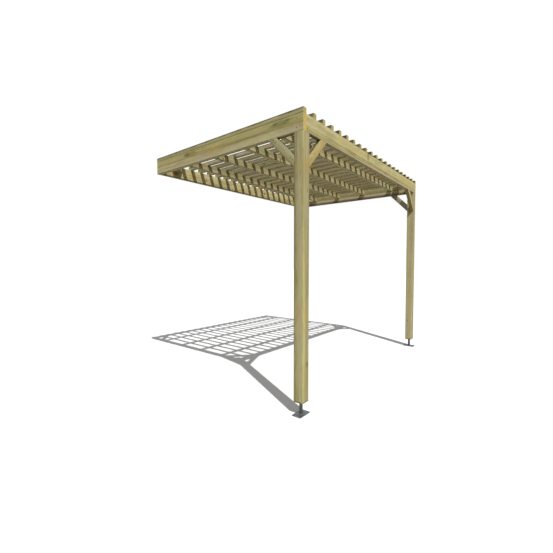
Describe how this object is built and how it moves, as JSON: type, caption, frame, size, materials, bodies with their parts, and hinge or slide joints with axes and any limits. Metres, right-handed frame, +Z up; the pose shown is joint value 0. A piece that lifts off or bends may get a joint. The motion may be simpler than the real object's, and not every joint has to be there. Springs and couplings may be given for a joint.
{
  "type": "lean-to pergola",
  "caption": "Open timber lean-to pergola: two posts on steel feet, a braced beam frame fixed to a wall and a flat roof of spaced slats.",
  "frame": {"origin": "centre of the wall plate's back face, where the frame is fixed to the wall", "axes": "+X along the wall, to the right as seen from the front; +Y into the wall; +Z up"},
  "size_m": [3.1475, 2.1825, 2.585],
  "materials": {
    "post_timber": "planed, pressure treated",
    "beam_timber": "planed, pressure treated",
    "slat_timber": "planed, pressure treated",
    "brace_timber": "planed, pressure treated",
    "galvanised_steel": "galvanised"
  },
  "bodies": {
    "root": {"left_post": "post_timber", "right_post": "post_timber", "left_side_beam": "beam_timber", "right_side_beam": "beam_timber", "front_beam": "beam_timber", "wall_plate": "beam_timber", "crossbeam_1": "beam_timber", "crossbeam_2": "beam_timber", "crossbeam_3": "beam_timber", "crossbeam_4": "beam_timber", "slat_01": "slat_timber", "slat_02": "slat_timber", "slat_03": "slat_timber", "slat_04": "slat_timber", "slat_05": "slat_timber", "slat_06": "slat_timber", "slat_07": "slat_timber", "slat_08": "slat_timber", "slat_09": "slat_timber", "slat_10": "slat_timber", "slat_11": "slat_timber", "slat_12": "slat_timber", "slat_13": "slat_timber", "slat_14": "slat_timber", "slat_15": "slat_timber", "slat_16": "slat_timber", "slat_17": "slat_timber", "slat_18": "slat_timber", "slat_19": "slat_timber", "slat_20": "slat_timber", "slat_21": "slat_timber", "left_side_brace": "brace_timber", "right_side_brace": "brace_timber", "left_front_brace": "brace_timber", "right_front_brace": "brace_timber", "left_front_corner_brace": "brace_timber", "right_front_corner_brace": "brace_timber", "left_back_corner_brace": "brace_timber", "right_back_corner_brace": "brace_timber", "left_floor_plate": "galvanised_steel", "right_floor_plate": "galvanised_steel", "left_spindle": "galvanised_steel", "right_spindle": "galvanised_steel", "left_bearing_plate": "galvanised_steel", "right_bearing_plate": "galvanised_steel"}
  },
  "joints": []
}
